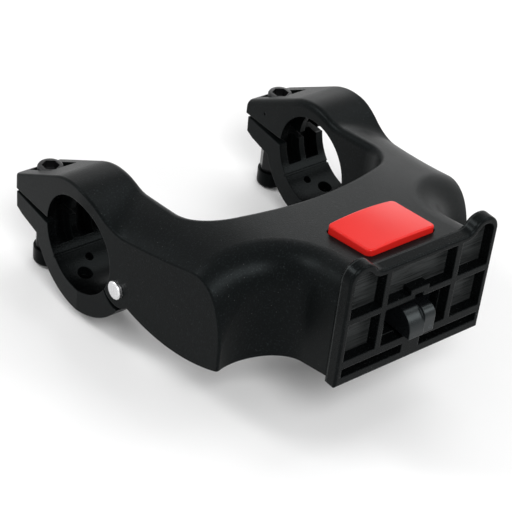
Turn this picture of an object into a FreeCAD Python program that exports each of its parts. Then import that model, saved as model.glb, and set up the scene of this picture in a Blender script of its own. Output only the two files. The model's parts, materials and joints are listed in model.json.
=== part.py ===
# Handlebar basket bracket: a U-shaped moulding clamped to the bar by two hinged jaws, with a ribbed
# front plate that a basket slides over, a spring latch in it and a red release button.
# Millimetres. The bar's axis is the X axis, the plate faces -Y and +Z is up.
import FreeCAD, Part
import math
import os

V = FreeCAD.Vector

# Bar clamps
bore_r = 16.0               # takes a 31.8 mm bar
clamp_spacing = 91.5        # between the middles of the two clamps
clamp_width = 18.5
ring_r = 22.5               # upper half of the ring, outside
ring_centre = (1.6, -1.7)   # of that outside, from the bar's axis
jaw_wall = 7.5              # lower half of the ring
lug_rear_y = 35.5
lug_pitch_deg = 29.0        # fall of the lug's top towards its rear
lug_face_z = 0.6            # lower face of the upper lug
lug_corner_r = 2.0

# Arms, cross block and neck, seen from above
toe_deg = 6.7               # the outer faces close in towards the front
toe_start_y = -2.0
toe_blend_r = 40.0
arm_rear_y = -2.5           # the arms end inside the rings
back_y = -43.2              # rear wall of the cross block on the middle line
back_curve_r = 80.0
inner_corner_r = 15.0
cove_r = 14.0               # hollow between an arm's front and the neck
neck_straight = 10.1        # from the cove to the plate
neck_half = 27.3
bar_to_plate = 86.0         # from the bar's axis to the back of the plate

# Arms, cross block and neck, seen from the side
deck_front_z = 33.0         # top of the neck at the plate
deck_pitch_deg = 9.2
bank_drop = 8.1             # fall of the top from the middle line to the outer faces
bank_fade = 0.0021          # the fall eases towards the front
bank_y = -26.0
bank_power = 5.0
neck_floor_z = -0.6         # underside of the neck at the plate
floor_pitch_deg = 12.8
step_lead = 1.4             # the underside steps down to the arms this far ahead of their fronts
step_run = 10.8
step_r = 80.0
belly_y = -41.5             # lowest line of the underside
belly_z = -11.5
belly_r = 55.0
crease_r = 0.7
inner_edge_r = 2.2
cove_edge_r = (9.5, 11.0)   # at the plate and at the arm's outer face
ring_blend_r = 12.0
wall = 3.0                  # moulded wall
cove_wall = 8.0             # along the coves, whose upper edges are rounded the most
rib = 2.0
cross_ribs = (24.0, 39.0)   # behind the plate
long_rib_x = 12.0

# Hinge
pin_r = 2.0
running = 0.05              # clearance of a running fit, on the radius
pin_offset = 20.0           # from the bar's axis
pin_angle_deg = 193.3
pin_head_r = 3.0
pin_head = 1.4
pin_proud = 1.2
knuckle_r = 6.2             # body's cheeks round the pin
eye_r = 5.2                 # jaw's eye on the pin
eye_width = 9.0
side_gap = 0.35
moving_gap = 0.4
swing_room_deg = 32.0       # hinge slot's opening for the jaw's swing
clip_r = 3.6
clip = 0.8
clip_groove = 0.5           # depth of the clip's groove
clip_mouth = 2.4
pin_tail = 1.2              # beyond the clip
pin_edge_r = 0.5
seam_room = (0.6, 0.9)      # the seam between jaw and knuckle opens downwards, by Y and Z

# Clamp bolts
bolt_y = 29.3
bolt_r = 2.5
bolt_head_r = 4.2
bolt_head = 5.0
bolt_edge_r = 0.5
socket_across = 4.6
socket_deep = 2.8
bolt_tip_z = -25.6
washer = 1.0
washer_r = 4.5
seat_z = 3.0                # floor of the head's slot in the lug
head_slot = (22.0, 33.9)    # front and rear ends
head_slot_width = 9.5
shank_slot_width = 6.0
shank_slot_y = 25.6
bridge_z = 3.4              # the shank's slot leaves at the rear below this

# Jaws
jaw_lug = ((14.0, -2.0), (33.8, -0.3), (33.6, -5.8), (30.6, -7.1), (20.0, -9.3), (14.0, -9.3))
jaw_end_deg = 354.0
fork_room = 1.8             # in front of the bolt
seat_room = 1.2
nut_seat_z = -7.0           # spot face under the jaw's lug
core_deep = 4.0             # two hollows in the ring's inner face, across the split
core_deg = (326.0, 402.0)   # their lower and upper ends
core_width = 5.3
core_rib = 2.2              # between them
groove_deg = (313.4, 316.0)  # groove across the jaw below them
groove_deep = 0.6
dimple_r = 0.5              # in the lug's inner face
dimple_deep = 0.8
dimple = (25.5, 5.3)        # its Y and Z
pits = ((-1.8, 301.5, 1.3), (2.6, 284.0, 2.4))  # place across the jaw, angle and radius
pit_deep = 3.5

# Nuts and caps
nut_across = 7.6            # between the nut's flats
nut_gap = 0.35
nut_dome_r = 12.0
nut_end_z = -20.6
nut_tail_r = 3.6
nut_tail_z = -24.0
cap_r = 4.7
cap_top_z = -21.6
cap_z = -28.0
cap_edge_r = 1.8
cap_wall = 1.2

# Front plate
plate = 4.5
plate_bottom_z = -2.1
valley_z = 35.0
horn_x = 22.5
horn_r = 5.1
horn_z = 33.7
horn_blend_r = 3.5
pocket_deep = 3.6
rim = 1.8
upright_x = (12.2, 14.2)    # vertical ribs
mid_rib_z = (19.6, 21.6)
step_half = 3.4             # the mid rib steps up over the latch
step_z = 23.2
keyway_half = 1.5
keyway_z = 21.0
low_rib_z = (4.1, 6.8)
low_slot_z = 0.95
patch_half = 3.4            # solid between the low slots
dip_half = (3.1, 1.0)       # notch in the low rib, top and bottom
dip_z = 4.8
plate_edge_r = 0.8
plate_seam = 0.4            # bevel of the plate's rear edge, along the joint with the neck
web_x = 24.0                # tongue behind the plate, let into the neck
web_z = (3.2, 29.8)
web = 2.0

# Latch, spring and button
chamber_x = 20.0
chamber_length = 34.0
chamber_z = 4.0
latch_x = 9.0
latch_z = (8.4, 17.0)
latch_span = (2.4, 22.0)    # behind the back of the plate, as the other spans are
ear_x = 15.0                # ears that stop the latch behind the plate's window
ear = 3.0
hook_x = (-5.3, 0.2, 4.15)  # its left side, the step and its right side
hook_out = 8.5
hook_z = 9.0
hook_nose_r = (6.0, 3.0)    # left and right of the step
hook_step = 0.3             # the right part stands back by this
guide_gap = 0.15
guide = 2.0
rail_x = 5.0                # inner side of the rails under the latch
guide_span = (11.0, 30.0)
guide_z = 14.0
notch_start = 7.0           # front wall of the wedge's notch
wedge_gap = 0.2
leg_half = 4.0
leg_span = (12.0, 18.0)
leg_z = 15.0
leg_tip = 1.0               # flat at the wedge's lower end
peg_r = 2.4
peg = 3.0
spring_r = 3.4              # to the middle of the wire
spring_wire_r = 0.45
spring_turns = 5.0
button_x = 12.5
button_span = (5.2, 23.6)
button_z = (34.0, 31.6)     # top at the front and at the rear
button_crown = (0.4, 1.0)   # rise of its middle, at the front and at the rear
button_corner_r = 1.6
button_edge_r = 0.6
button_shell = 2.2
button_gap = 0.4
flange_out = 1.7
flange = 2.0
flange_gap = 0.2

OUTER_X = clamp_spacing / 2 + clamp_width / 2
INNER_X = clamp_spacing / 2 - clamp_width / 2
MID_X = clamp_spacing / 2
JAW_R = bore_r + jaw_wall
PIN_Y = pin_offset * math.cos(math.radians(pin_angle_deg))
PIN_Z = pin_offset * math.sin(math.radians(pin_angle_deg))
PLATE_Y = -bar_to_plate
COVE_Y = PLATE_Y + neck_straight
FAR = 120.0                 # farther than anything that it cuts
MARGIN = 6.0                # of a surface beyond what it cuts


def behind(*distances):
    """Places behind the back of the plate."""
    return tuple(PLATE_Y + d for d in distances)


CHAMBER_Y, NOTCH_Y, HOOK_Y = behind(chamber_length, notch_start, -hook_out)
LATCH_Y = behind(*latch_span)
GUIDE_Y = behind(*guide_span)
LEG_Y = behind(*leg_span)
BUTTON_Y = behind(*button_span)


def tan(degrees):
    return math.tan(math.radians(degrees))


def outer_x(y):
    """Half width between the arms' outer faces at y."""
    return OUTER_X - tan(toe_deg) * max(toe_start_y - y, 0.0)


def deck_z(x, y):
    """Height of the moulding's top: it falls to the rear and banks down to the outer faces."""
    middle = deck_front_z - tan(deck_pitch_deg) * (y - PLATE_Y)
    drop = bank_drop - bank_fade * (y - bank_y) ** 2
    return middle - drop * (abs(x) / outer_x(y)) ** bank_power


def box(x0, x1, y0, y1, z0, z1):
    return Part.makeBox(x1 - x0, y1 - y0, z1 - z0, V(x0, y0, z0))


def rod(r, start, end):
    run = end - start
    return Part.makeCylinder(r, run.Length, start, run)


def along_x(r, x0, x1, y=0.0, z=0.0):
    return rod(r, V(x0, y, z), V(x1, y, z))


def line(a, b):
    return Part.LineSegment(a, b).toShape()


def arc(centre, r, a, b):
    """The shorter arc from a to b about centre, all in one plane."""
    middle = (a + b) * 0.5 - centre
    middle.normalize()
    return Part.Arc(a, centre + middle * r, b).toShape()


def face(edges):
    return Part.Face(Part.Wire(Part.__sortEdges__(edges)))


def across(points, x0, x1):
    """A straight-sided outline in the YZ plane, extruded from x0 to x1."""
    corners = [V(x0, y, z) for y, z in points]
    return Part.Face(Part.makePolygon(corners + corners[:1])).extrude(V(x1 - x0, 0, 0))


def polar(r, degrees, x):
    """A point at a radius and an angle about the bar; 0 is the rear and 90 the top."""
    return V(x, r * math.cos(math.radians(degrees)), r * math.sin(math.radians(degrees)))


def sector(r0, r1, a0, a1, x0, x1):
    """Part of a ring about the bar."""
    mid = (a0 + a1) / 2
    outer = Part.Arc(polar(r1, a0, x0), polar(r1, mid, x0), polar(r1, a1, x0)).toShape()
    inner = Part.Arc(polar(r0, a0, x0), polar(r0, mid, x0), polar(r0, a1, x0)).toShape()
    ends = [line(polar(r0, a, x0), polar(r1, a, x0)) for a in (a0, a1)]
    return face([outer, inner] + ends).extrude(V(x1 - x0, 0, 0))


def mirrored(shape):
    return shape.mirror(V(0, 0, 0), V(1, 0, 0))


def both(shape):
    return [shape, mirrored(shape)]


def plan_face(inset, z):
    """Plan outline of the arms, cross block and neck, drawn in by an inset."""
    corner_x = INNER_X - inner_corner_r
    back_centre = V(0, back_y + back_curve_r, z)
    corner_y = back_centre.y - math.sqrt((back_curve_r - inner_corner_r) ** 2 - corner_x ** 2)
    corner_centre = V(corner_x, corner_y, z)
    away = corner_centre - back_centre
    away.normalize()
    cove_centre = V(neck_half + cove_r, COVE_Y, z)
    cove = cove_r + inset
    slant = inset / math.cos(math.radians(toe_deg))
    front_y = COVE_Y + cove
    for step in range(20):
        reach = outer_x(front_y) - slant - cove_centre.x
        front_y = COVE_Y + math.sqrt(cove ** 2 - reach ** 2)
    rear = V(INNER_X + inset, arm_rear_y - inset, z)
    rear_out = V(outer_x(rear.y) - slant, rear.y, z)
    front_out = V(outer_x(front_y) - slant, front_y, z)
    neck = V(neck_half - inset, COVE_Y, z)
    neck_front = V(neck_half - inset, PLATE_Y + inset, z)
    straight = V(INNER_X + inset, corner_y, z)
    bend = corner_centre + away * (inner_corner_r + inset)
    half = [line(rear, straight), arc(corner_centre, inner_corner_r + inset, straight, bend)]
    half += [line(rear, rear_out), line(rear_out, front_out)]
    half += [arc(cove_centre, cove, front_out, neck), line(neck, neck_front)]
    back = Part.Arc(bend, V(0, back_y - inset, z), V(-bend.x, bend.y, z)).toShape()
    front = line(neck_front, V(-neck_front.x, neck_front.y, z))
    return face(half + [back, front] + [mirrored(e) for e in half])


def above(height, x_half, y0, y1):
    """Everything above a smooth surface whose height is a function of x and y."""
    rows = []
    for i in range(17):
        x = x_half * (i - 8) / 8
        rows.append([V(x, y, height(x, y)) for y in [y0 + j * (y1 - y0) / 10 for j in range(11)]])
    surface = Part.BSplineSurface()
    surface.interpolate(rows)
    return surface.toShape().extrude(V(0, 0, FAR))


def above_deck(lower):
    """Everything above the moulding's top, or above a surface that lies lower by a wall."""
    return above(lambda x, y: deck_z(x, y) - lower, OUTER_X + MARGIN, PLATE_Y - MARGIN, arm_rear_y + MARGIN)


def button_top_z(x, y):
    """Height of the button's crowned top."""
    along = (y - BUTTON_Y[0]) / (BUTTON_Y[1] - BUTTON_Y[0])
    level, crown = [ends[0] + (ends[1] - ends[0]) * along for ends in (button_z, button_crown)]
    return level + crown * (1 - (x / button_x) ** 2)


def bulge(a, b, r):
    """An arc of a radius from a to b that bulges up, in a plane across X."""
    run = b - a
    lift = V(0, -run.z, run.y)
    lift.normalize()
    rise = r - math.sqrt(r ** 2 - run.Length ** 2 / 4)
    return Part.Arc(a, (a + b) * 0.5 + lift * rise, b).toShape()


def below_floor():
    """Everything below the moulding: under the neck, down a step to the arms' bellies and the knuckles."""
    slope = tan(floor_pitch_deg)
    x = -FAR
    front_y = COVE_Y + cove_r - step_lead
    end_y = PIN_Y + pin_r / 2
    step_y = front_y - step_run

    def neck(y):
        return V(x, y, neck_floor_z - slope * (y - PLATE_Y))

    def belly(y):
        return V(x, y, belly_z + belly_r - math.sqrt(belly_r ** 2 - (y - belly_y) ** 2))

    front, end = neck(PLATE_Y - MARGIN), belly(end_y)
    deep = [V(x, 0, end.z), V(x, 0, -FAR), V(x, front.y, -FAR)]
    edges = [line(front, neck(step_y)), bulge(neck(step_y), belly(front_y), step_r)]
    edges += [Part.Arc(belly(front_y), belly(belly_y), end).toShape(), line(end, deep[0])]
    edges += [line(deep[0], deep[1]), line(deep[1], deep[2]), line(deep[2], front)]
    return face(edges).extrude(V(2 * FAR, 0, 0))


def beyond_toe():
    """Everything outside the right arm's outer face."""
    corners = [V(OUTER_X, toe_start_y, -FAR), V(outer_x(-FAR), -FAR, -FAR)]
    corners += [V(FAR, -FAR, -FAR), V(FAR, toe_start_y, -FAR)]
    return Part.Face(Part.makePolygon(corners + corners[:1])).extrude(V(0, 0, 2 * FAR))


def clamp_upper():
    """Upper half of the right clamp: a half ring with a lug that slopes down to the rear."""
    x = INNER_X
    centre = V(0, *ring_centre)
    touch = centre + polar(ring_r, 90 - lug_pitch_deg, x)
    rear_top = V(x, lug_rear_y, touch.z - tan(lug_pitch_deg) * (lug_rear_y - touch.y))
    rear_low = V(x, lug_rear_y, lug_face_z)
    front = V(x, centre.y - math.sqrt(ring_r ** 2 - (lug_face_z - centre.z) ** 2), lug_face_z)
    edges = [line(rear_low, rear_top), line(rear_top, touch), line(front, rear_low)]
    edges += [Part.Arc(touch, centre + polar(ring_r, 90, x), front).toShape()]
    shape = face(edges).extrude(V(clamp_width, 0, 0))
    corner = [e for e in shape.Edges if e.CenterOfMass.y > lug_rear_y - 0.01
              and e.CenterOfMass.x > OUTER_X - 0.01]
    return shape.makeFillet(lug_corner_r, corner).cut(beyond_toe())


def deck_edges(shape, test):
    """Edges along the rim of the moulding's top that pass a test of their middle point."""
    found = []
    for edge in shape.Edges:
        p = edge.valueAt((edge.FirstParameter + edge.LastParameter) / 2)
        if abs(p.z - deck_z(p.x, p.y)) < 0.15 and test(abs(p.x), p.y):
            found.append(edge)
    return found


def on_cove(x, y):
    return abs(math.hypot(x - neck_half - cove_r, y - COVE_Y) - cove_r) < 0.2 and y > COVE_Y


def on_inside(x, y):
    return y > back_y - 0.2 and x < INNER_X + 0.2


def upright(edge):
    return abs(edge.tangentAt(edge.FirstParameter).z) > 0.99


def outer_edges(shape):
    """Upper edges of the arms' and the clamps' outer faces, and the upright edges at the arms' fronts."""
    found = []
    for edge in shape.Edges:
        p = edge.valueAt((edge.FirstParameter + edge.LastParameter) / 2)
        on_face = abs(abs(p.x) - outer_x(p.y)) < 0.25 and lug_face_z < p.z
        ahead = p.y < lug_rear_y - lug_corner_r
        if on_face and ahead and (p.y < back_y or not upright(edge)):
            found.append(edge)
    return found


def on_ring(x, y):
    far = math.hypot(y - ring_centre[0], deck_z(x, y) - ring_centre[1])
    return x > INNER_X + 0.2 and y > -ring_r and abs(far - ring_r) < 0.2


def moulding():
    shape = plan_face(0, -FAR / 2).extrude(V(0, 0, FAR))
    return shape.cut(above_deck(0)).cut(below_floor())


def soften(shape):
    """Blends the arms into the rings, then rounds the inner edges, the coves' edges and the creases."""
    bends = [e for e in shape.Edges if upright(e) and abs(e.CenterOfMass.y - toe_start_y) < 0.1]
    shape = shape.makeFillet(toe_blend_r, bends)
    shape = shape.makeFillet(ring_blend_r, deck_edges(shape, on_ring))
    shape = shape.makeFillet(inner_edge_r, deck_edges(shape, on_inside))
    for side in (-1, 1):
        rim = [e for e in deck_edges(shape, on_cove) if e.CenterOfMass.x * side > 0]
        starts_at_plate = rim[0].valueAt(rim[0].FirstParameter).y < COVE_Y + cove_r / 2
        shape = shape.makeFillet(*(cove_edge_r if starts_at_plate else cove_edge_r[::-1]), rim)
    return shape.makeFillet(crease_r, outer_edges(shape))


def hinge_way(x0, x1, lean_deg):
    """What the jaw sweeps below the pin, from x0 to x1."""
    lean = math.radians(lean_deg)
    foot = (PIN_Y - FAR * math.sin(lean), PIN_Z - FAR * math.cos(lean))
    return across([(PIN_Y, PIN_Z), foot, (0, -FAR), (0, 0)], x0, x1)


def hinge_cuts():
    """Cut away round the right knuckle: free space for the jaw, the eye's slot and the pin's hole."""
    free = hinge_way(INNER_X - 1, OUTER_X + 1, 0)
    free = free.cut(along_x(knuckle_r, INNER_X - 1, OUTER_X + 1, PIN_Y, PIN_Z))
    half = eye_width / 2 + side_gap
    slot = along_x(eye_r + moving_gap, MID_X - half, MID_X + half, PIN_Y, PIN_Z)
    slot = slot.fuse(hinge_way(MID_X - half, MID_X + half, swing_room_deg))
    hole = along_x(pin_r, INNER_X - 1, OUTER_X + 1, PIN_Y, PIN_Z)
    sink = along_x(pin_head_r, outer_x(PIN_Y) + pin_proud - pin_head, FAR, PIN_Y, PIN_Z)
    return [free, slot, hole, sink]


def bolt_cuts():
    """Slots in the right lug for the bolt's head and its shank."""
    head = box(MID_X - head_slot_width / 2, MID_X + head_slot_width / 2, *head_slot, seat_z, FAR)
    half = shank_slot_width / 2
    shank = box(MID_X - half, MID_X + half, shank_slot_y, head_slot[1], -1, FAR)
    way_out = box(MID_X - half, MID_X + half, bolt_y, FAR, -1, bridge_z)
    return [head, shank, way_out]


def cores():
    """Hollows of the moulding, open below, leaving walls, ribs, the pins' bosses and the chamber."""
    shape = plan_face(wall, -FAR / 2).extrude(V(0, 0, FAR)).cut(above_deck(wall))
    boxed = box(-chamber_x - wall, chamber_x + wall, -FAR, CHAMBER_Y + wall, chamber_z - wall, FAR)
    bosses = box(-FAR, FAR, PIN_Y - knuckle_r - wall, 0, -FAR, FAR)
    neck = box(-FAR, FAR, -FAR, PLATE_Y + web + wall, -FAR, FAR)
    coves = both(rod(cove_r + cove_wall, V(neck_half + cove_r, COVE_Y, -FAR), V(neck_half + cove_r, COVE_Y, FAR)))
    coves += both(box(neck_half - cove_wall, FAR, -FAR, COVE_Y, -FAR, FAR))
    ribs = [box(-FAR, FAR, y - rib / 2, y + rib / 2, -FAR, FAR) for y in behind(*cross_ribs)]
    ribs += [box(x - rib / 2, x + rib / 2, -FAR, 0, -FAR, FAR) for x in (-long_rib_x, long_rib_x)]
    return shape.cut([boxed, bosses, neck] + coves + ribs)


def core_spans():
    """Ends along X of the two hollows in the right ring's inner face."""
    middles = [MID_X + side * (core_rib + core_width) / 2 for side in (-1, 1)]
    return [(x - core_width / 2, x + core_width / 2) for x in middles]


def ring_hollows():
    """What is cut from the right ring's inner face above the split, and the lug's dimple."""
    hollows = [sector(bore_r - 1, bore_r + core_deep, 360.0, core_deg[1], *x) for x in core_spans()]
    return hollows + [rod(dimple_r, V(INNER_X - 1, *dimple), V(INNER_X + dimple_deep, *dimple))]


def chamber():
    """Room for the latch and the button, open at the front behind the plate."""
    room = box(-chamber_x, chamber_x, PLATE_Y - 1, CHAMBER_Y, chamber_z, FAR).cut(above_deck(wall))
    let_in = box(-web_x, web_x, PLATE_Y - 1, PLATE_Y + web, *web_z)
    grow = button_gap
    mouth = box(-button_x - grow, button_x + grow, BUTTON_Y[0] - grow, BUTTON_Y[1] + grow, latch_z[1], FAR)
    mouth = round_corners(mouth, button_corner_r + grow)
    return [room, let_in, mouth]


def round_corners(block, r):
    """A block with its four upright edges rounded."""
    return block.makeFillet(r, [e for e in block.Edges if upright(e)])


def guides():
    """Rails in the chamber that carry the latch and keep it straight."""
    side = latch_x + guide_gap
    rails = [box(rail_x, side, *GUIDE_Y, chamber_z - 1, latch_z[0] - guide_gap)]
    rails += [box(side, side + guide, *GUIDE_Y, chamber_z - 1, guide_z)]
    return rails + [mirrored(r) for r in rails]


def main_body():
    shape = soften(moulding().fuse(both(clamp_upper())).removeSplitter())
    knuckle = along_x(knuckle_r, INNER_X, OUTER_X, PIN_Y, PIN_Z).cut(beyond_toe())
    shape = shape.cut(cores()).fuse(both(knuckle))
    cuts = chamber() + [along_x(bore_r, -FAR, FAR)]
    for cut in hinge_cuts() + bolt_cuts() + ring_hollows():
        cuts += both(cut)
    return shape.cut(cuts).fuse(guides()).removeSplitter()


def jaw():
    """Lower half of the right clamp."""
    full = sector(bore_r - 1, JAW_R, pin_angle_deg, jaw_end_deg, INNER_X, OUTER_X)
    full = full.fuse(across(jaw_lug, INNER_X, OUTER_X))
    half = eye_width / 2
    cheeks = along_x(knuckle_r + moving_gap, INNER_X - 1, OUTER_X + 1, PIN_Y, PIN_Z)
    low = PIN_Y - seam_room[0], PIN_Z - seam_room[1]
    cheeks = cheeks.fuse(along_x(knuckle_r + seam_room[0], INNER_X - 1, OUTER_X + 1, *low))
    cheeks = cheeks.cut(box(MID_X - half, MID_X + half, -FAR, 0, -FAR, FAR))
    eye = along_x(eye_r, MID_X - half, MID_X + half, PIN_Y, PIN_Z)
    shape = full.cut([cheeks, beyond_toe()]).fuse(eye)
    hole = along_x(pin_r + running, INNER_X, OUTER_X, PIN_Y, PIN_Z)
    fork = shank_slot_width / 2
    slot = box(MID_X - fork, MID_X + fork, bolt_y - bolt_r - fork_room, FAR, -FAR, FAR)
    seat = on_bolt(nut_across / 2 + seat_room, -FAR, nut_seat_z)
    return shape.cut([along_x(bore_r, 0, FAR), hole, slot, seat] + jaw_hollows())


def jaw_hollows():
    """Two cored pockets and a groove in the jaw's inner face, and two round pits below them."""
    hollows = [sector(bore_r - 1, bore_r + groove_deep, *groove_deg, INNER_X - 1, OUTER_X + 1)]
    hollows += [sector(bore_r - 1, bore_r + core_deep, core_deg[0], 360.0, *x) for x in core_spans()]
    for place, degrees, r in pits:
        x = MID_X + place
        hollows.append(rod(r, V(x, 0, 0), polar(bore_r + pit_deep, degrees, x)))
    return hollows


def hinge_pin():
    head_x = outer_x(PIN_Y) + pin_proud
    tip_x = INNER_X - clip - pin_tail
    shape = along_x(pin_r, tip_x, head_x, PIN_Y, PIN_Z)
    head = along_x(pin_head_r, head_x - pin_head, head_x, PIN_Y, PIN_Z)
    head = head.makeFillet(pin_edge_r, [e for e in head.Edges if e.CenterOfMass.x > head_x - 0.01])
    groove = along_x(pin_r, INNER_X - clip, INNER_X, PIN_Y, PIN_Z)
    groove = groove.cut(along_x(pin_r - clip_groove, INNER_X - clip, INNER_X, PIN_Y, PIN_Z))
    return shape.fuse(head).cut(groove)


def pin_clip():
    shape = along_x(clip_r, INNER_X - clip, INNER_X, PIN_Y, PIN_Z)
    shape = shape.cut(along_x(pin_r - clip_groove, 0, OUTER_X, PIN_Y, PIN_Z))
    half = clip_mouth / 2
    return shape.cut(box(0, OUTER_X, PIN_Y - half, PIN_Y + half, PIN_Z - 2 * clip_r, PIN_Z))


def clamp_bolt():
    under = seat_z + washer + running
    top = under + bolt_head
    head = on_bolt(bolt_head_r, under, top)
    head = head.makeFillet(bolt_edge_r, [e for e in head.Edges if e.CenterOfMass.z > top - 0.01])
    socket = hexagon(socket_across, top - socket_deep, top)
    return head.fuse(on_bolt(bolt_r, bolt_tip_z, under)).cut(socket).removeSplitter()


def bolt_washer():
    ends = (seat_z, seat_z + washer)
    return on_bolt(washer_r, *ends).cut(on_bolt(bolt_r + running, *ends))


def hexagon(across, z0, z1):
    """Six-sided bar on the right bolt's axis."""
    reach = across / 2 / math.cos(math.radians(30))
    turns = [math.radians(60 * i) for i in range(7)]
    corners = [V(MID_X + reach * math.cos(t), bolt_y + reach * math.sin(t), z0) for t in turns]
    return Part.Face(Part.makePolygon(corners)).extrude(V(0, 0, z1 - z0))


def on_bolt(r, z0, z1):
    """Round bar on the right bolt's axis."""
    return rod(r, V(MID_X, bolt_y, z0), V(MID_X, bolt_y, z1))


def clamp_nut():
    """Long nut with a domed top, so that it stays square while the jaw swings."""
    top_z = nut_seat_z - nut_gap
    dome = Part.makeSphere(nut_dome_r, V(MID_X, bolt_y, top_z - nut_dome_r))
    dome = dome.fuse(box(0, FAR, 0, FAR, -FAR, top_z - nut_dome_r / 2))
    shape = hexagon(nut_across, nut_end_z, top_z).common(dome)
    tail = on_bolt(nut_tail_r, nut_tail_z, nut_end_z)
    return shape.fuse(tail).cut(on_bolt(bolt_r + running, -FAR, 0)).removeSplitter()


def nut_cap():
    shape = on_bolt(cap_r, cap_z, cap_top_z)
    shape = shape.makeFillet(cap_edge_r, [e for e in shape.Edges if e.CenterOfMass.z < cap_z + 0.01])
    tail = on_bolt(nut_tail_r, nut_tail_z, cap_top_z)
    return shape.cut([tail, on_bolt(bolt_r + moving_gap, cap_z + cap_wall, nut_tail_z)])


def plate_outline(y, inset):
    """Outline of the plate, drawn in by an inset: straight sides and a level top between two round horns."""
    horn = V(horn_x, y, horn_z)
    rise = valley_z + horn_blend_r - horn_z
    bend = horn + V(-math.sqrt((horn_r + horn_blend_r) ** 2 - rise ** 2), 0, rise)
    away = bend - horn
    away.normalize()
    touch = horn + away * (horn_r - inset)
    level = V(bend.x, y, valley_z - inset)
    crown = horn + V(0, 0, horn_r - inset)
    side = horn + V(horn_r - inset, 0, 0)
    low = V(side.x, y, plate_bottom_z + inset)
    half = [line(low, side), Part.Arc(side, crown, touch).toShape()]
    half += [arc(bend, horn_blend_r + inset, touch, level)]
    ends = [line(p, V(-p.x, p.y, p.z)) for p in (low, level)]
    return face(half + ends + [mirrored(e) for e in half])


def front_plate():
    front_y = PLATE_Y - plate
    shape = plate_outline(front_y, 0).extrude(V(0, plate, 0))
    hollow = plate_outline(front_y - 1, rim).extrude(V(0, pocket_deep + 1, 0))
    rims = [e for e in shape.Edges if e.BoundBox.YMax < front_y + 0.01]
    shape = shape.makeFillet(plate_edge_r, rims)
    shape = shape.makeChamfer(plate_seam, [e for e in shape.Edges if e.BoundBox.YMin > PLATE_Y - 0.01])
    shape = shape.fuse(box(-web_x, web_x, PLATE_Y - 0.5, PLATE_Y + web, *web_z))
    side = [hollow.common(box(upright_x[1], FAR, -FAR, 0, low_rib_z[1], mid_rib_z[0]))]
    side += [hollow.common(box(upright_x[1], FAR, -FAR, 0, mid_rib_z[1], FAR))]
    side += [hollow.common(box(patch_half, FAR, -FAR, 0, low_slot_z, low_rib_z[0]))]
    middle = hollow.common(box(-upright_x[0], upright_x[0], -FAR, 0, mid_rib_z[1], FAR))
    middle = middle.cut(box(-step_half, step_half, -FAR, 0, 0, step_z))
    window = box(-upright_x[0], upright_x[0], -FAR, 0, low_rib_z[1], mid_rib_z[0])
    keyway = box(-keyway_half, keyway_half, -FAR, 0, mid_rib_z[0] - 1, keyway_z)
    dip = [V(x, -FAR, z) for x, z in ((-dip_half[0], low_rib_z[1]), (-dip_half[1], dip_z),
                                      (dip_half[1], dip_z), (dip_half[0], low_rib_z[1]))]
    dip = Part.Face(Part.makePolygon(dip + dip[:1])).extrude(V(0, FAR, 0))
    cuts = [middle, window, keyway, dip]
    for cut in side:
        cuts += both(cut)
    return shape.cut(cuts).removeSplitter()


def latch_hook():
    shape = box(-latch_x, latch_x, *LATCH_Y, *latch_z)
    ears = box(-ear_x, ear_x, LATCH_Y[0], LATCH_Y[0] + ear, *latch_z)
    hooks = []
    tips = (HOOK_Y, HOOK_Y + hook_step)
    for x0, x1, tip_y, nose_r in zip(hook_x[:2], hook_x[1:], tips, hook_nose_r):
        hook = box(x0, x1, tip_y, LATCH_Y[0] + 1, hook_z, latch_z[1])
        nose = [e for e in hook.Edges if e.CenterOfMass.y < tip_y + 0.01
                and e.CenterOfMass.z > latch_z[1] - 0.01]
        hooks.append(hook.makeFillet(nose_r, nose))
    reach = math.sqrt(2) * wedge_gap
    rise = latch_z[1] + 1 - leg_z
    slope_y = LEG_Y[0] + leg_tip + reach
    notch = [(NOTCH_Y, latch_z[1] + 1), (slope_y + rise, latch_z[1] + 1)]
    notch += [(NOTCH_Y, leg_z - slope_y + NOTCH_Y)]
    half = leg_half + moving_gap
    middle_z = sum(latch_z) / 2
    pegs = rod(peg_r, V(0, LATCH_Y[1], middle_z), V(0, LATCH_Y[1] + peg, middle_z))
    return shape.fuse([ears, pegs] + hooks).cut(across(notch, -half, half)).removeSplitter()


def latch_spring():
    middle_z = sum(latch_z) / 2
    length = CHAMBER_Y - LATCH_Y[1] - 2 * spring_wire_r
    helix = Part.makeHelix(length / spring_turns, length, spring_r)
    start = V(spring_r, 0, 0)
    along = helix.Edges[0].tangentAt(helix.Edges[0].FirstParameter)
    ring = Part.Wire(Part.makeCircle(spring_wire_r, start, along))
    coil = Part.Wire(helix.Edges).makePipeShell([ring], True, False)
    coil.rotate(V(0, 0, 0), V(1, 0, 0), -90)
    coil.translate(V(0, LATCH_Y[1] + spring_wire_r, middle_z))
    return coil


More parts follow.
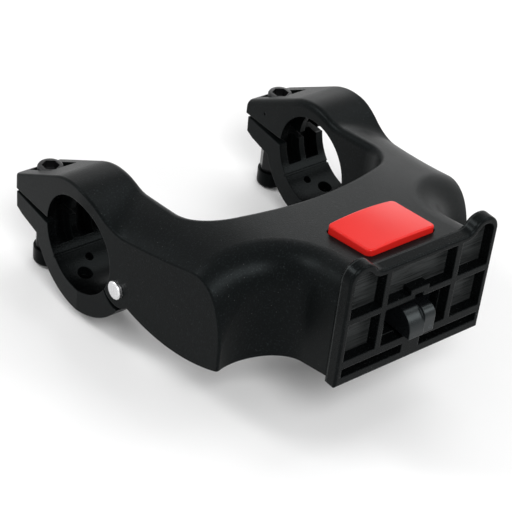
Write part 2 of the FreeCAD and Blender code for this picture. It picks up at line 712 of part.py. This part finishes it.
def release_button():
    """Crowned cap with a flange under the deck and a wedge that drives the latch back."""
    front, rear = BUTTON_Y
    skirt_z = deck_z(0, rear) - wall - flange
    cap = round_corners(box(-button_x, button_x, front, rear, skirt_z, FAR), button_corner_r)
    cap = cap.cut(above(button_top_z, button_x + MARGIN, front - MARGIN, rear + MARGIN))
    rims = [e for e in cap.Edges if e.BoundBox.ZMin > button_z[1] - 0.5]
    cap = cap.makeFillet(button_edge_r, rims)
    reach = button_x + flange_out
    skirt = box(-reach, reach, front - flange_out, rear + flange_out, skirt_z, FAR)
    skirt = round_corners(skirt, button_corner_r).cut(above_deck(wall + flange_gap))
    half = button_x - button_shell
    inner = box(-half, half, front + button_shell, rear - button_shell, 0, FAR)
    inner = inner.cut(above(lambda x, y: button_top_z(x, y) - button_shell, button_x, front, rear))
    tip = LEG_Y[0] + leg_tip
    root_z = button_top_z(0, LEG_Y[1]) - button_shell / 2
    leg = [(LEG_Y[0], root_z), (LEG_Y[0], leg_z), (tip, leg_z), (LEG_Y[1], leg_z + LEG_Y[1] - tip)]
    leg = across(leg + [(LEG_Y[1], root_z)], -leg_half, leg_half)
    return cap.fuse(skirt).cut(inner).fuse(leg).removeSplitter()


def build():
    os.makedirs("parts", exist_ok=True)
    nodes = {"main_body": main_body(), "front_plate": front_plate(), "latch_hook": latch_hook()}
    nodes["latch_spring"] = latch_spring()
    nodes["release_button"] = release_button()
    pairs = {"lower_jaw": jaw, "hinge_pin": hinge_pin, "pin_clip": pin_clip, "clamp_bolt": clamp_bolt}
    pairs.update({"bolt_washer": bolt_washer, "clamp_nut": clamp_nut, "nut_cap": nut_cap})
    for name, make in pairs.items():
        nodes[name + "_right"] = make()
        nodes[name + "_left"] = mirrored(make())
    for name, shape in nodes.items():
        print(name, shape.isValid(), len(shape.Solids), round(shape.Volume / 1000, 2))
        shape.exportStep("parts/" + name + ".step")


build()
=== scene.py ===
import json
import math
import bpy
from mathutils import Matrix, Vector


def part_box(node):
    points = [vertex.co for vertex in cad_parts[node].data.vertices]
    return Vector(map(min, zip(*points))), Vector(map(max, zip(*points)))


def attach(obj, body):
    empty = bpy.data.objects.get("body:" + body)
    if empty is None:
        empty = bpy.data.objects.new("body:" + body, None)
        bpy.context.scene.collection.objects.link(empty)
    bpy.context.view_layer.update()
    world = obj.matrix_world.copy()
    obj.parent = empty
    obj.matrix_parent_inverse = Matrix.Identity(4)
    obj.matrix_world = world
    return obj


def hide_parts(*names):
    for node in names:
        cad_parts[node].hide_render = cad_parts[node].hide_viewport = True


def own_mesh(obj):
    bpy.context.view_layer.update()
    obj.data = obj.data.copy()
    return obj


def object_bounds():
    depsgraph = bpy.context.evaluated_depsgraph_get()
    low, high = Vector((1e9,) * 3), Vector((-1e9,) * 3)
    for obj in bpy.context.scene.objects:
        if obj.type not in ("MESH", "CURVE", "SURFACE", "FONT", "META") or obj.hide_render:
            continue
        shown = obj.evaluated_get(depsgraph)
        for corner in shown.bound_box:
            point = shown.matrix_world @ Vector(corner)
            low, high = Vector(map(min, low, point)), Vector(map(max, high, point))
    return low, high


bl_info = {
    "name": "Handlebar Basket Bracket",
    "version": (1, 0, 0),
    "blender": (4, 5, 0),
    "location": "View3D > Sidebar > Bracket",
    "description": "Finishes the basket bracket's parts and sets up its studio",
    "category": "Object",
}

from contextlib import contextmanager

import bpy
from bpy.props import FloatProperty, FloatVectorProperty, IntProperty, PointerProperty
from mathutils import Matrix, Vector

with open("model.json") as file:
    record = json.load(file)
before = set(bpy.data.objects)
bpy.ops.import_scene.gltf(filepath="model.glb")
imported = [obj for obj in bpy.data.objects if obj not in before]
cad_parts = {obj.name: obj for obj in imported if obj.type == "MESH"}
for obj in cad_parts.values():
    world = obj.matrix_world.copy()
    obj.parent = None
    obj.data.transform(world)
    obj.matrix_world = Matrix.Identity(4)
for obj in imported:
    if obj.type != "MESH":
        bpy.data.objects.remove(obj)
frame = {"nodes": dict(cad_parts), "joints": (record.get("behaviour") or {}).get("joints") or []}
NODES = frame["nodes"]
CAD_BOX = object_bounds()
LATCH_TRAVEL = next(joint["range_m"][1] for joint in frame["joints"] if joint["name"] == "latch_slide")

# Specular levels of the plastics, and the cool tint of what the black ones mirror
BODY_GLOSS = 0.055
PLATE_GLOSS = 0.06
LATCH_GLOSS = 0.3
BUTTON_GLOSS = 0.15
COOL_BLACK = (0.86, 0.98, 1.0, 1.0)

# Colours laid over a piece's own: dust, the painted shade in the bores, the cutter marks in the pockets
DUST = (0.06, 0.06, 0.06)
BORE_PAINTED_SHADE = (0.0004, 0.0004, 0.0004)
CUTTER_MARKS = (0.03, 0.032, 0.032)

# Colours of the steels
BLACK_OXIDE = (0.012, 0.012, 0.013)
PLATED = (0.55, 0.55, 0.56)
POLISHED = (0.72, 0.72, 0.73)

# The bores' smoother finish and painted shade: its reach from their axis, and how far a face has to look
# inwards
BORE_REACH = 0.0203
BORE_FACING = -0.004

# The floors of the plate's pockets: their place behind its face, and the slack for being on one
POCKET_DEEP = 0.0036
POCKET_FLOOR_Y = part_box("front_plate")[0][1] + POCKET_DEEP
POCKET_SLACK = 0.0002

# The small ring on the latch's face: its middle, its radius, and where its line starts and ends to blur
RING_X = 0.00284
RING_Z = 0.01047
RING_R = 0.0005
RING_BLUR = (0.0001, 0.0002)
RING_LIGHTER = 8.0

# Steps round the bolt's head, its thread, the spring's coil and its wire
HEAD_STEPS = 72
THREAD_STEPS = 28
COIL_STEPS = 36
WIRE_STEPS = 14

# The grooves round the bolt's head: their depth, and their sides as a share of the head's radius
KNURL_DEEP = 0.00012
KNURL_SIDE = 0.02

# A face is level, or upright, where its normal's z is past one of these
LEVEL = 0.9
UPRIGHT = 0.1

# Points this close are one, and faces that meet at less than this angle are shaded as one
SEAM = 1e-6
SMOOTH_ANGLE = math.radians(35.0)

# The floor: its width, its gap below the bracket, and where it starts to fade and is gone
FLOOR_SIZE = 8.0
FLOOR_GAP = 0.0002
FLOOR_FADE = (0.5, 1.5)

# The soft boxes: the studio's value for each, the way to it, its distance and its size
SOFT_BOXES = (
    ("key_box", (-0.32, -0.66, 0.68), 1.2, 0.5),
    ("rear_box", (-0.53, 0.5, 0.68), 1.2, 0.34),
    ("top_box", (0.47, 0.06, 0.87), 1.2, 0.72),
    ("back_box", (0.64, 0.70, 0.28), 1.3, 0.5),
    ("front_box", (0.58, -0.62, 0.52), 1.2, 0.5),
)

# Where the photograph was taken from: the camera's place, its own three axes, its lens and film in mm
CAMERA_AT = (-0.29597, -0.35391, 0.31355)
CAMERA_RIGHT = (0.79011, -0.60511, 0.09783)
CAMERA_UP = (0.29709, 0.51764, 0.80236)
CAMERA_BACK = (-0.53616, -0.60489, 0.58876)
CAMERA_LENS = 123.05
CAMERA_FILM = 36.0


class Signal:
    """A socket that takes Python's arithmetic; each step adds a Math node."""

    def __init__(self, nodes, socket):
        self.nodes = nodes
        self.socket = socket

    def step(self, operation, first, second=0.0):
        return self.nodes.add("ShaderNodeMath", {"operation": operation}, {0: first, 1: second})

    def __add__(self, other):
        return self.step("ADD", self, other)

    def __radd__(self, other):
        return self.step("ADD", other, self)

    def __sub__(self, other):
        return self.step("SUBTRACT", self, other)

    def __rsub__(self, other):
        return self.step("SUBTRACT", other, self)

    def __mul__(self, other):
        return self.step("MULTIPLY", self, other)

    def __rmul__(self, other):
        return self.step("MULTIPLY", other, self)

    def __pow__(self, other):
        return self.step("POWER", self, other)

    def __abs__(self):
        return self.step("ABSOLUTE", self)

    def root(self):
        return self.step("SQRT", self)

    def below(self, other):
        return self.step("LESS_THAN", self, other)

    def above(self, other):
        return self.step("GREATER_THAN", self, other)

    def most(self, other):
        return self.step("MAXIMUM", self, other)

    def output(self, name):
        """Another output of the same node."""
        return Signal(self.nodes, self.socket.node.outputs[name])

    def smooth(self, low, high):
        """Zero up to a low value and one from a high one, with a soft rise between."""
        settings = {"interpolation_type": "SMOOTHSTEP"}
        inputs = {"Value": self, "From Min": low, "From Max": high}
        return self.nodes.add("ShaderNodeMapRange", settings, inputs)


class Nodes:
    """The nodes of a material or a world, built round its shader."""

    def __init__(self, owner, shader="Principled BSDF"):
        owner.use_nodes = True
        self.owner = owner
        self.tree = owner.node_tree
        self.shader = self.tree.nodes[shader]

    def add(self, kind, settings=None, inputs=None, output=0):
        """A new node, as the signal of one of its outputs."""
        node = self.tree.nodes.new(kind)
        for key, value in (settings or {}).items():
            setattr(node, key, value)
        for key, value in (inputs or {}).items():
            self.feed(node.inputs[key], value)
        return Signal(self, node.outputs[output])

    def feed(self, socket, value):
        if isinstance(value, Signal):
            self.tree.links.new(value.socket, socket)
        else:
            socket.default_value = value

    def set(self, **inputs):
        """Give the shader's sockets their values or links."""
        for key, value in inputs.items():
            self.feed(self.shader.inputs[key.replace("_", " ")], value)
        return self

    def fed(self, key):
        """What one of the shader's sockets is fed so far."""
        return Signal(self, self.shader.inputs[key].links[0].from_socket)

    def fade(self, share):
        """Let the surface turn clear by a share."""
        parts = {0: share, 1: Signal(self, self.shader.outputs[0]), 2: self.add("ShaderNodeBsdfTransparent")}
        surface = self.tree.nodes["Material Output"].inputs["Surface"]
        self.feed(surface, self.add("ShaderNodeMixShader", None, parts))
        return self

    def place(self):
        return self.add("ShaderNodeTexCoord", output="Object")

    def axes(self):
        x = self.add("ShaderNodeSeparateXYZ", None, {0: self.place()})
        return x, x.output("Y"), x.output("Z")

    def noise(self, scale, detail=2.0, roughness=0.5, stretch=(1.0, 1.0, 1.0)):
        place = self.add("ShaderNodeMapping", None, {"Vector": self.place(), "Scale": stretch})
        inputs = {"Vector": place, "Scale": scale, "Detail": detail, "Roughness": roughness}
        return self.add("ShaderNodeTexNoise", None, inputs)

    def dust(self, scale, size, share):
        """Mask of small specks, one in some of the cells of a random pattern."""
        away = self.add("ShaderNodeTexVoronoi", None, {"Vector": self.place(), "Scale": scale})
        return (1.0 - away.smooth(0.6 * size, size)) * away.output("Color").above(1.0 - share)

    def tint(self, amount, dark, light):
        """A mix of two colours."""
        dark, light = [c if isinstance(c, Signal) else (*c, 1.0) for c in (dark, light)]
        return self.add("ShaderNodeMix", {"data_type": "RGBA"}, {0: amount, 6: dark, 7: light}, 2)

    def bump(self, height, strength, distance, edge=0.0):
        """Relief from a height, on edges that look rounded by a radius."""
        inputs = {"Height": height, "Strength": strength, "Distance": distance}
        if edge:
            inputs["Normal"] = self.add("ShaderNodeBevel", {"samples": 6}, {"Radius": edge})
        return self.set(Normal=self.add("ShaderNodeBump", None, inputs))


def new_finish(name):
    return Nodes(bpy.data.materials.new(name))


def shades(colour, spread):
    """A darker and a lighter neighbour of a colour."""
    return [c * (1 - spread) for c in colour], [c * (1 + spread) for c in colour]


def moulded_black(name, colour, roughness, grain, gloss, edge, speckle=6.0):
    """Black moulded plastic with a fine spark-eroded grain and a little dust."""
    nodes = new_finish(name)
    cloud = nodes.noise(scale=60.0, detail=3.0)
    pits = nodes.noise(scale=2600.0, roughness=0.6)
    sparkle = nodes.noise(scale=1900.0, detail=3.0, roughness=0.7).smooth(0.54, 0.72)
    dust = nodes.dust(scale=800.0, size=0.1, share=0.35)
    black = nodes.tint(cloud.smooth(0.3, 0.7), *shades(colour, 0.15))
    black = nodes.tint(sparkle, black, [speckle * c for c in colour])
    nodes.set(Base_Color=nodes.tint(dust, black, DUST))
    nodes.set(Specular_IOR_Level=gloss, Specular_Tint=COOL_BLACK)
    nodes.set(Roughness=roughness - 0.05 + 0.1 * cloud + 0.12 * (pits - 0.5) + 0.2 * dust)
    return nodes.bump(pits, strength=grain, distance=0.00012, edge=edge)


def body_black(colour, roughness):
    """The body's and jaws' plastic: grained outside, smoother in the clamps' bores and darkened there by
    painted shade.
    """
    nodes = moulded_black("moulded black with painted bore shade", colour, roughness, grain=0.4, gloss=BODY_GLOSS, edge=0.0004)
    _, y, z = nodes.axes()
    facing = nodes.add("ShaderNodeSeparateXYZ", None, {0: nodes.place().output("Normal")})
    inward = (y * facing.output("Y") + z * facing.output("Z")).below(BORE_FACING)
    bore_shade_and_smoothness = inward * (y * y + z * z).below(BORE_REACH ** 2)
    # Painted shade: the colour inside the bores is drawn towards black
    nodes.set(Base_Color=nodes.tint(0.7 * bore_shade_and_smoothness, nodes.fed("Base Color"), BORE_PAINTED_SHADE))
    return nodes.set(Roughness=nodes.fed("Roughness") * (1.0 - 0.45 * bore_shade_and_smoothness)).owner


def plate_black(colour):
    """The plate's plastic, with fine cutter marks across the floors of its pockets."""
    nodes = moulded_black("plate black", colour, 0.27, grain=0.12, gloss=PLATE_GLOSS, edge=0.0005)
    _, y, _ = nodes.axes()
    floor = abs(y - POCKET_FLOOR_Y).below(POCKET_SLACK)
    streaks = nodes.noise(scale=2400.0, roughness=0.6, stretch=(0.04, 1.0, 1.0))
    marks = floor * streaks.smooth(0.35, 0.75)
    nodes.set(Base_Color=nodes.tint(floor * 0.35 + 0.65 * marks, nodes.fed("Base Color"), CUTTER_MARKS))
    return nodes.set(Roughness=nodes.fed("Roughness") + 0.12 * marks).owner


def latch_grey(colour):
    """The latch's plastic, with the small ring that an ejector pin left on its face."""
    nodes = moulded_black("latch grey", colour, 0.3, grain=0.04, gloss=LATCH_GLOSS, edge=0.0004, speckle=1.5)
    x, _, z = nodes.axes()
    away = ((x - RING_X) ** 2.0 + (z - RING_Z) ** 2.0).root()
    ring = 1.0 - abs(away - RING_R).smooth(*RING_BLUR)
    light = [RING_LIGHTER * c for c in colour]
    return nodes.set(Base_Color=nodes.tint(ring, nodes.fed("Base Color"), light)).owner


def red_gloss(name, colour):
    """Red moulded plastic, nearly smooth."""
    nodes = new_finish(name)
    cloud = nodes.noise(scale=90.0)
    ripple = nodes.noise(scale=700.0)
    nodes.set(Base_Color=nodes.tint(cloud, *shades(colour, 0.05)), Roughness=0.2 + 0.08 * cloud)
    nodes.set(Specular_IOR_Level=BUTTON_GLOSS)
    return nodes.bump(ripple, strength=0.05, distance=0.0001).owner


def steel(name, colour, roughness, metallic=1.0):
    """Drawn or plated steel with fine scratches."""
    nodes = new_finish(name)
    scratch = nodes.noise(scale=900.0, detail=3.0, roughness=0.6)
    cloud = nodes.noise(scale=120.0)
    nodes.set(Base_Color=nodes.tint(cloud, *shades(colour, 0.12)), Metallic=metallic)
    nodes.set(Roughness=roughness - 0.06 + 0.12 * scratch)
    return nodes.bump(scratch, strength=0.06, distance=0.0001, edge=0.0002).owner


def dress(material, *names):
    """Give nodes of the CAD model a material."""
    for name in names:
        node = NODES[name]
        node.data.materials.clear()
        node.data.materials.append(material)


def sides(*names):
    """The names of pieces that each clamp has one of."""
    return [name + side for name in names for side in ("_left", "_right")]


class BracketFinish(bpy.types.PropertyGroup):
    """Colours of the mouldings, and the body's roughness"""
    body_colour: FloatVectorProperty(
        name="Body", description="Black of the moulded body", subtype="COLOR",
        default=(0.002, 0.0025, 0.0026))
    body_roughness: FloatProperty(
        name="Body Roughness", description="Roughness of the body's grain", subtype="FACTOR",
        default=0.34, min=0.0, max=1.0)
    cap_colour: FloatVectorProperty(
        name="Caps", description="Black of the nuts' caps", subtype="COLOR", default=(0.001, 0.0011, 0.0012))
    plate_colour: FloatVectorProperty(
        name="Plate", description="Black of the front plate", subtype="COLOR",
        default=(0.0016, 0.0019, 0.002))
    latch_colour: FloatVectorProperty(
        name="Latch", description="Grey of the latch hook", subtype="COLOR", default=(0.003, 0.0034, 0.004))
    button_colour: FloatVectorProperty(
        name="Button", description="Red of the release button", subtype="COLOR",
        default=(0.68, 0.017, 0.013))


class BracketBolt(bpy.types.PropertyGroup):
    """Sizes of the clamp bolts"""
    head_r: FloatProperty(
        name="Head Radius", description="Radius of the bolt's head", unit="LENGTH", default=0.0042)
    head_high: FloatProperty(
        name="Head Height", description="Height of the bolt's head", unit="LENGTH", default=0.005)
    head_edge: FloatProperty(
        name="Head Edge", description="Rounding of the head's rim", unit="LENGTH", default=0.0005)
    socket: FloatProperty(
        name="Socket", description="Width across the flats of the socket", unit="LENGTH", default=0.005)
    socket_deep: FloatProperty(
        name="Socket Depth", description="Depth of the socket", unit="LENGTH", default=0.0028)
    shank_r: FloatProperty(
        name="Thread Radius", description="Radius over the thread", unit="LENGTH", default=0.0025)
    root_r: FloatProperty(
        name="Root Radius", description="Radius at the bottom of the thread", unit="LENGTH", default=0.0021)
    neck: FloatProperty(
        name="Neck", description="Plain length under the head", unit="LENGTH", default=0.0015)
    pitch: FloatProperty(
        name="Pitch", description="Rise of the thread in one turn", unit="LENGTH", default=0.0008)
    turns: IntProperty(name="Turns", description="Turns of the thread", default=36, min=1)


class BracketSpring(bpy.types.PropertyGroup):
    """Sizes of the latch's spring"""
    wire_r: FloatProperty(
        name="Wire Radius", description="Radius of the spring's wire", unit="LENGTH", default=0.00045)
    turns: IntProperty(name="Turns", description="Turns of the coil", default=5, min=1)


class BracketStudio(bpy.types.PropertyGroup):
    """Lights and floor of the studio"""
    key_box: FloatProperty(
        name="Key Box", description="Brightness of the soft box at the front left", default=11.0, min=0.0)
    rear_box: FloatProperty(
        name="Rear Box", description="Brightness of the small soft box behind the left", default=12.0, min=0.0)
    top_box: FloatProperty(
        name="Top Box", description="Brightness of the soft box overhead", default=2.1, min=0.0)
    front_box: FloatProperty(
        name="Front Box", description="Brightness of the soft box at the front right", default=3.6, min=0.0)
    back_box: FloatProperty(
        name="Back Box", description="Brightness of the low soft box behind the right", default=1.8, min=0.0)
    room: FloatProperty(
        name="Room Light", description="Strength of the even light from all round", default=0.35, min=0.0)
    floor_colour: FloatVectorProperty(
        name="Floor", description="White of the floor", subtype="COLOR", default=(0.92, 0.92, 0.92))


class BRACKET_OT_body(bpy.types.Operator):
    """Finish the moulded body, its hinged jaws and the nuts' caps"""
    bl_idname = "bracket.body"
    bl_label = "Body and Jaws"

    def execute(self, context):
        finish = context.scene.bracket_finish
        dress(body_black(finish.body_colour, finish.body_roughness), "main_body", *sides("lower_jaw"))
        cap = moulded_black("cap black", finish.cap_colour, 0.3, grain=0.2, gloss=BODY_GLOSS, edge=0.0003)
        dress(cap.owner, *sides("nut_cap"))
        return {"FINISHED"}


class BRACKET_OT_plate(bpy.types.Operator):
    """Finish the front plate and the latch"""
    bl_idname = "bracket.plate"
    bl_label = "Plate and Latch"

    def execute(self, context):
        finish = context.scene.bracket_finish
        dress(plate_black(finish.plate_colour), "front_plate")
        dress(latch_grey(finish.latch_colour), "latch_hook")
        return {"FINISHED"}


class BRACKET_OT_button(bpy.types.Operator):
    """Finish the release button"""
    bl_idname = "bracket.button"
    bl_label = "Button"

    def execute(self, context):
        dress(red_gloss("button red", context.scene.bracket_finish.button_colour), "release_button")
        return {"FINISHED"}


@contextmanager
def whole_mesh():
    """Edit mode, with all of the active mesh selected."""
    bpy.ops.object.mode_set(mode="EDIT")
    bpy.ops.mesh.select_all(action="SELECT")
    yield
    bpy.ops.object.mode_set(mode="OBJECT")


def pick(kind, test):
    """In edit mode, select only the faces, edges or points that pass a test."""
    bpy.ops.mesh.select_mode(type=kind)
    bpy.ops.mesh.select_all(action="DESELECT")
    bpy.ops.object.mode_set(mode="OBJECT")
    mesh = bpy.context.object.data
    for part in {"FACE": mesh.polygons, "EDGE": mesh.edges, "VERT": mesh.vertices}[kind]:
        part.select = test(mesh, part)
    bpy.ops.object.mode_set(mode="EDIT")


def apply_modifier(kind, **settings):
    """Add a modifier to the active mesh and make its result the mesh."""
    bpy.ops.object.modifier_add(type=kind)
    modifier = bpy.context.object.modifiers[-1]
    for key, value in settings.items():
        setattr(modifier, key, value)
    bpy.ops.object.modifier_apply(modifier=modifier.name)


def screw(axis, rise, turns, steps):
    """Screw the active mesh round an axis, set its place in the mesh and close its two ends."""
    apply_modifier(
        "SCREW", axis=axis, angle=2 * math.pi, screw_offset=rise, iterations=turns,
        steps=steps, render_steps=steps)
    bpy.ops.object.transform_apply(location=True)
    with whole_mesh():
        bpy.ops.mesh.remove_doubles(threshold=SEAM)
        bpy.ops.mesh.fill_holes(sides=0)


def smooth_faces():
    """Turn the active mesh's faces outwards and shade them smooth up to its edges."""
    with whole_mesh():
        bpy.ops.mesh.normals_make_consistent(inside=False)
    bpy.ops.object.shade_smooth_by_angle(angle=SMOOTH_ANGLE)


def bolt_head(sizes, x, y, top):
    """The bolt's head: knurled side, rounded rim, hexagon socket and a plain neck below."""
    foot = top - sizes.head_high
    bpy.ops.mesh.primitive_cylinder_add(
        vertices=HEAD_STEPS, radius=sizes.head_r, depth=sizes.head_high, location=(x, y, (foot + top) / 2))
    head = bpy.context.object
    bpy.ops.object.transform_apply(location=True)
    bpy.ops.object.mode_set(mode="EDIT")
    pick("FACE", lambda mesh, face: face.normal.z < -LEVEL)
    bpy.ops.mesh.inset(thickness=sizes.head_r - sizes.root_r)
    bpy.ops.mesh.extrude_region_move(TRANSFORM_OT_translate={"value": (0.0, 0.0, -sizes.neck)})
    pick("EDGE", lambda mesh, edge: all(mesh.vertices[v].co.z > top - SEAM for v in edge.vertices))
    bpy.ops.mesh.bevel(offset=sizes.head_edge, segments=4, affect="EDGES")
    pick("FACE", lambda mesh, face: abs(face.normal.z) < UPRIGHT and face.center.z > foot)
    bpy.ops.mesh.inset(thickness=sizes.head_r * KNURL_SIDE, depth=KNURL_DEEP, use_individual=True)
    bpy.ops.mesh.select_all(action="SELECT")
    narrower = 1 - KNURL_DEEP / sizes.head_r
    bpy.ops.transform.resize(value=(narrower, narrower, 1.0), center_override=(x, y, top))
    bpy.ops.object.mode_set(mode="OBJECT")
    bpy.ops.object.select_all(action="DESELECT")
    bpy.ops.mesh.primitive_cylinder_add(
        vertices=6, radius=sizes.socket / math.sqrt(3), depth=2 * sizes.socket_deep, location=(x, y, top))
    cutter = bpy.context.object
    bpy.context.view_layer.objects.active = head
    apply_modifier("BOOLEAN", object=cutter, operation="DIFFERENCE", solver="EXACT")
    bpy.data.objects.remove(cutter)
    return head


def bolt_thread(sizes, x, y, low):
    """The bolt's threaded shank: one ridge's profile screwed up the axis, with closed ends."""
    middle = sizes.pitch / 2
    bpy.ops.mesh.primitive_plane_add(size=sizes.pitch, location=(x, y, low), rotation=(math.pi / 2, 0.0, 0.0))
    bpy.ops.object.transform_apply(location=False, rotation=True)
    bpy.ops.object.mode_set(mode="EDIT")
    pick("VERT", lambda mesh, point: point.co.x > 0.0)
    bpy.ops.mesh.delete(type="VERT")
    bpy.ops.mesh.select_all(action="SELECT")
    bpy.ops.transform.translate(value=(sizes.root_r + middle, 0.0, middle))
    bpy.ops.mesh.subdivide(number_cuts=3)
    pick("VERT", lambda mesh, point: abs(point.co.z - middle) < sizes.pitch / 3)
    bpy.ops.transform.translate(value=(sizes.shank_r - sizes.root_r, 0.0, 0.0))
    bpy.ops.object.mode_set(mode="OBJECT")
    screw("Z", sizes.pitch, sizes.turns, THREAD_STEPS)


class BRACKET_OT_bolts(bpy.types.Operator):
    """Model one clamp bolt and copy it to the other arm"""
    bl_idname = "bracket.bolts"
    bl_label = "Clamp Bolts"

    def execute(self, context):
        sizes = context.scene.bracket_bolt
        low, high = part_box("clamp_bolt_left")
        x = (low.x + high.x) / 2
        y = (low.y + high.y) / 2
        bpy.ops.object.select_all(action="DESELECT")
        head = bolt_head(sizes, x, y, high.z)
        bpy.ops.object.select_all(action="DESELECT")
        bolt_thread(sizes, x, y, low.z)
        head.select_set(True)
        context.view_layer.objects.active = head
        bpy.ops.object.join()
        smooth_faces()
        head.name = "socket_bolt_left"
        head.data.materials.append(steel("bolt black", BLACK_OXIDE, 0.34, metallic=0.6))
        bpy.ops.object.duplicate()
        other = context.object
        other.name = "socket_bolt_right"
        with whole_mesh():
            bpy.ops.transform.translate(value=(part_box("clamp_bolt_right")[0].x - low.x, 0.0, 0.0))
        bpy.ops.object.select_all(action="DESELECT")
        seats = ((head, "left_bolt", "clamp_bolt_left"), (other, "right_bolt", "clamp_bolt_right"))
        for bolt, body, node in seats:
            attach(bolt, body)
            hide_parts(node)
        return {"FINISHED"}


class BRACKET_OT_spring(bpy.types.Operator):
    """Model the latch's coil spring"""
    bl_idname = "bracket.spring"
    bl_label = "Latch Spring"

    def execute(self, context):
        sizes = context.scene.bracket_spring
        low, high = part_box("latch_spring")
        length = high.y - low.y
        axis_z = (low.z + high.z) / 2
        coil_r = (high.x - low.x) / 2 - sizes.wire_r
        bpy.ops.object.select_all(action="DESELECT")
        bpy.ops.mesh.primitive_circle_add(
            vertices=WIRE_STEPS, radius=sizes.wire_r, location=(0.0, low.y + sizes.wire_r, axis_z))
        spring = context.object
        with whole_mesh():
            bpy.ops.transform.translate(value=(coil_r, 0.0, 0.0))
        screw("Y", (length - 2 * sizes.wire_r) / sizes.turns, sizes.turns, COIL_STEPS)
        smooth_faces()
        bpy.ops.object.select_all(action="DESELECT")
        spring.name = "coil_spring"
        spring.data.materials.append(steel("spring steel", PLATED, 0.35))
        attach(spring, "body")
        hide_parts("latch_spring")
        1 - LATCH_TRAVEL / length
        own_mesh(spring)
        return {"FINISHED"}


class BRACKET_OT_fasteners(bpy.types.Operator):
    """Finish the nuts, washers, pins and clips"""
    bl_idname = "bracket.fasteners"
    bl_label = "Fasteners"

    def execute(self, context):
        dress(steel("black oxide", BLACK_OXIDE, 0.36, metallic=0.6), *sides("bolt_washer", "clamp_nut"))
        dress(steel("bright steel", POLISHED, 0.28), *sides("hinge_pin"))
        dress(steel("clip steel", PLATED, 0.35), *sides("pin_clip"))
        return {"FINISHED"}


def soft_box(name, way, distance, size, brightness):
    """A square lamp that faces the bracket from one way, with a given brightness of its face."""
    data = bpy.data.lights.new(name, "AREA")
    data.size = size
    data.energy = brightness * math.pi * size ** 2
    place = Vector(way).normalized() * distance
    lamp = bpy.data.objects.new(name, data)
    lamp.location = place
    lamp.rotation_euler = (-place).to_track_quat("-Z", "Y").to_euler()
    bpy.context.scene.collection.objects.link(lamp)


def pale_floor(height, colour):
    """A white floor that fades into the white room."""
    bpy.ops.object.select_all(action="DESELECT")
    bpy.ops.mesh.primitive_plane_add(size=FLOOR_SIZE, location=(0.0, 0.0, height))
    floor = bpy.context.object
    floor.name = "floor"
    nodes = new_finish("studio white")
    white = nodes.tint(nodes.noise(scale=40.0), *shades(colour, 0.01))
    nodes.set(Base_Color=white, Roughness=0.9, Specular_IOR_Level=0.1)
    x, y, _ = nodes.axes()
    nodes.fade((x * x + y * y).root().smooth(*FLOOR_FADE))
    floor.data.materials.append(nodes.owner)


def room_light(strength):
    """Even light from all round; what is seen or mirrored of the room is white."""
    world = bpy.data.worlds.new("studio")
    bpy.context.scene.world = world
    nodes = Nodes(world, "Background")
    seen = nodes.add("ShaderNodeLightPath", output="Is Camera Ray")
    white = seen.most(seen.output("Is Glossy Ray")).most(seen.output("Is Transmission Ray"))
    level = nodes.add("ShaderNodeMix", None, {"Factor": white, "A": strength, "B": 1.0})
    nodes.set(Color=(1.0, 1.0, 1.0, 1.0), Strength=level)


def photo_camera(scene):
    """The camera, where the photograph was taken from."""
    data = bpy.data.cameras.new("camera")
    data.lens = CAMERA_LENS
    data.sensor_width = CAMERA_FILM
    camera = bpy.data.objects.new("camera", data)
    turn = Matrix((CAMERA_RIGHT, CAMERA_UP, CAMERA_BACK)).transposed().to_4x4()
    camera.matrix_world = Matrix.Translation(CAMERA_AT) @ turn
    scene.collection.objects.link(camera)
    scene.camera = camera


class BRACKET_OT_studio(bpy.types.Operator):
    """Set up the floor, the lights and the camera"""
    bl_idname = "bracket.studio"
    bl_label = "Studio"

    def execute(self, context):
        studio = context.scene.bracket_studio
        pale_floor(CAD_BOX[0][2] - FLOOR_GAP, studio.floor_colour)
        room_light(studio.room)
        for name, way, distance, size in SOFT_BOXES:
            soft_box(name.replace("_", " "), way, distance, size, getattr(studio, name))
        photo_camera(context.scene)
        context.scene.view_settings.view_transform = "Standard"
        return {"FINISHED"}


class BRACKET_PT_panel(bpy.types.Panel):
    """Sizes, finishes and steps of the bracket"""
    bl_idname = "BRACKET_PT_panel"
    bl_label = "Basket Bracket"
    bl_space_type = "VIEW_3D"
    bl_region_type = "UI"
    bl_category = "Bracket"

    def draw(self, context):
        scene = context.scene
        for group in (scene.bracket_finish, scene.bracket_bolt, scene.bracket_spring, scene.bracket_studio):
            for name in group.__annotations__:
                self.layout.prop(group, name)
        for step in STEPS:
            self.layout.operator(step.bl_idname)


STEPS = (
    BRACKET_OT_body, BRACKET_OT_plate, BRACKET_OT_button, BRACKET_OT_bolts, BRACKET_OT_spring,
    BRACKET_OT_fasteners, BRACKET_OT_studio)
CLASSES = (BracketFinish, BracketBolt, BracketSpring, BracketStudio) + STEPS + (BRACKET_PT_panel,)


def register():
    for cls in CLASSES:
        bpy.utils.register_class(cls)
    bpy.types.Scene.bracket_finish = PointerProperty(type=BracketFinish)
    bpy.types.Scene.bracket_bolt = PointerProperty(type=BracketBolt)
    bpy.types.Scene.bracket_spring = PointerProperty(type=BracketSpring)
    bpy.types.Scene.bracket_studio = PointerProperty(type=BracketStudio)


def unregister():
    del bpy.types.Scene.bracket_studio
    del bpy.types.Scene.bracket_spring
    del bpy.types.Scene.bracket_bolt
    del bpy.types.Scene.bracket_finish
    for cls in reversed(CLASSES):
        bpy.utils.unregister_class(cls)


def main():
    register()
    bpy.ops.bracket.body()
    bpy.ops.bracket.plate()
    bpy.ops.bracket.button()
    bpy.ops.bracket.bolts()
    bpy.ops.bracket.spring()
    bpy.ops.bracket.fasteners()
    bpy.ops.bracket.studio()


if __name__ == "__main__":
    main()
